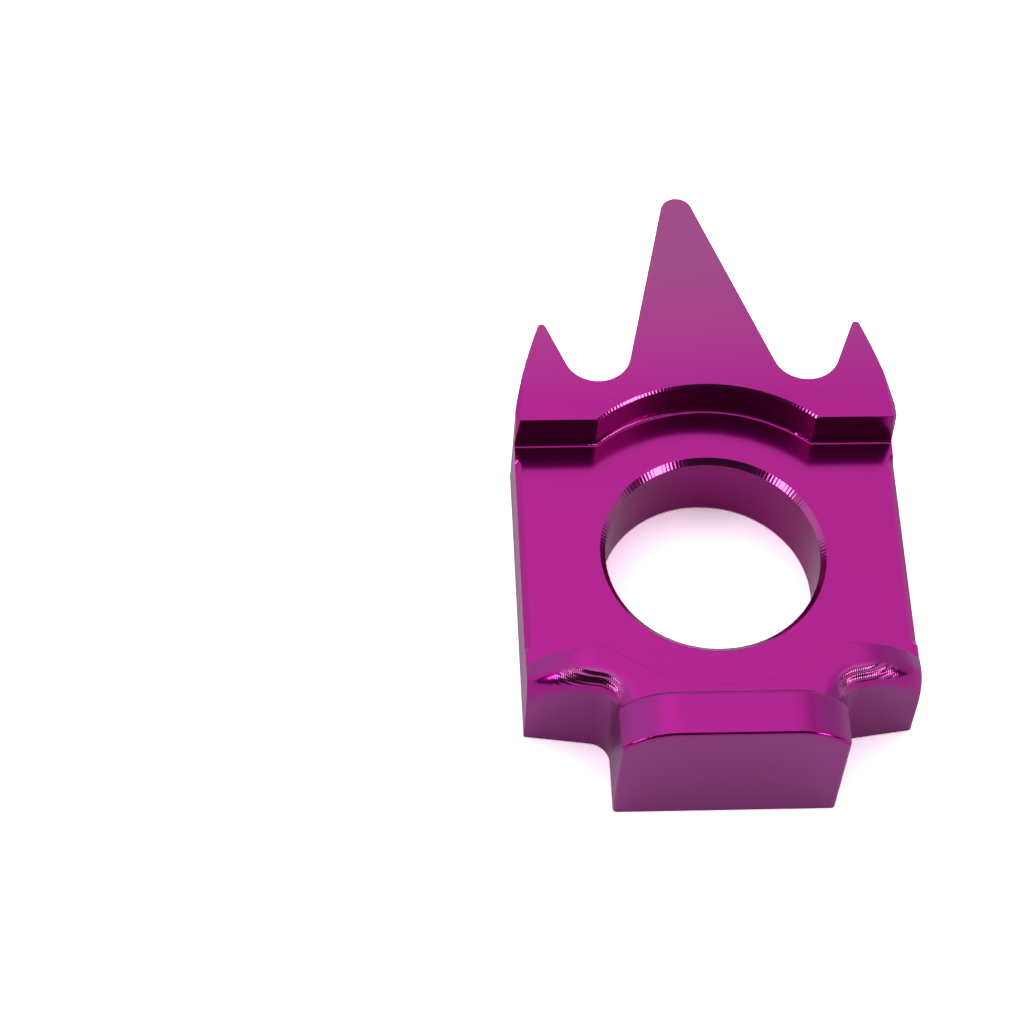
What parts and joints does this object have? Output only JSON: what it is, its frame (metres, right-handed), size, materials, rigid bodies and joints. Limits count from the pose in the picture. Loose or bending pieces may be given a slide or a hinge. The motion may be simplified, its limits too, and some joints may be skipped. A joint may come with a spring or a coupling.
{
  "type": "motorcycle chain adjuster block",
  "caption": "One-piece machined axle block of a chain adjuster: bored plate with a recessed axle seat, a pointed crown with a long pointer and a blunt nose for the adjuster screw.",
  "frame": {"origin": "on the axle bore's axis, at the flat back face", "axes": "+Z along the axle bore, out of the recessed seat; +Y towards the long pointer; +X across the block"},
  "size_m": [0.0448, 0.076, 0.0181],
  "materials": {
    "purple_anodised_aluminium": "satin purple anodising over fine milling marks"
  },
  "bodies": {
    "root": {"adjuster_block": "purple_anodised_aluminium"}
  },
  "joints": []
}
